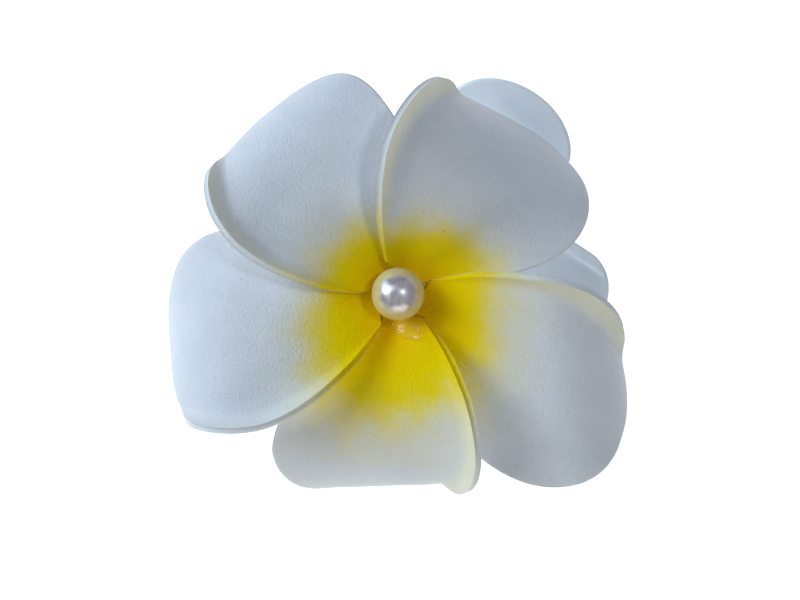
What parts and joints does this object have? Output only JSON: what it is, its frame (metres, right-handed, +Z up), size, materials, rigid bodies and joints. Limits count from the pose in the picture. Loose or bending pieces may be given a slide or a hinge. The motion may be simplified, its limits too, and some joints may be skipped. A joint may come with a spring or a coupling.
{
  "type": "flower hair clip",
  "caption": "Sprung claw hair clip with interlocking comb teeth, two finger tabs and a foam frangipani flower with a pearl bead on its front jaw.",
  "frame": {"origin": "centre of the clip's footprint on the table; the clip lies closed on the back of its rear jaw", "axes": "+X along the hinge and the comb; +Y from the teeth towards the finger tabs; +Z up, the way the flower faces"},
  "size_m": [0.095, 0.0908, 0.0532],
  "materials": {
    "foam": "matte closed-cell foam with a yellow airbrushed heart",
    "pearl": "pearlescent lacquer",
    "glue": "clear hot glue",
    "felt": "pressed felt",
    "jaw_plastic": "moulded, satin gloss",
    "steel": "bright drawn wire"
  },
  "bodies": {
    "rear_body": {"rear_jaw": "jaw_plastic", "hinge_pin": "steel", "torsion_spring": "steel"},
    "front_body": {"front_jaw": "jaw_plastic", "clip_glue_pad": "glue", "backing_disc": "felt", "petal_root_glue": "glue", "pearl_glue": "glue", "pearl_bead": "pearl", "petal_1": "foam", "petal_2": "foam", "petal_3": "foam", "petal_4": "foam", "petal_5": "foam"}
  },
  "joints": [
    {"name": "jaw_hinge", "type": "hinge", "parent": "rear_body", "child": "front_body", "pos_m": [-0.0036, 0.02209, 0.0158], "axis": [-1, 0, 0], "range_deg": [0, 50], "stiffness_Nm_per_rad": 0.25, "springref_deg": -45.84, "deforming": ["torsion_spring"]}
  ]
}
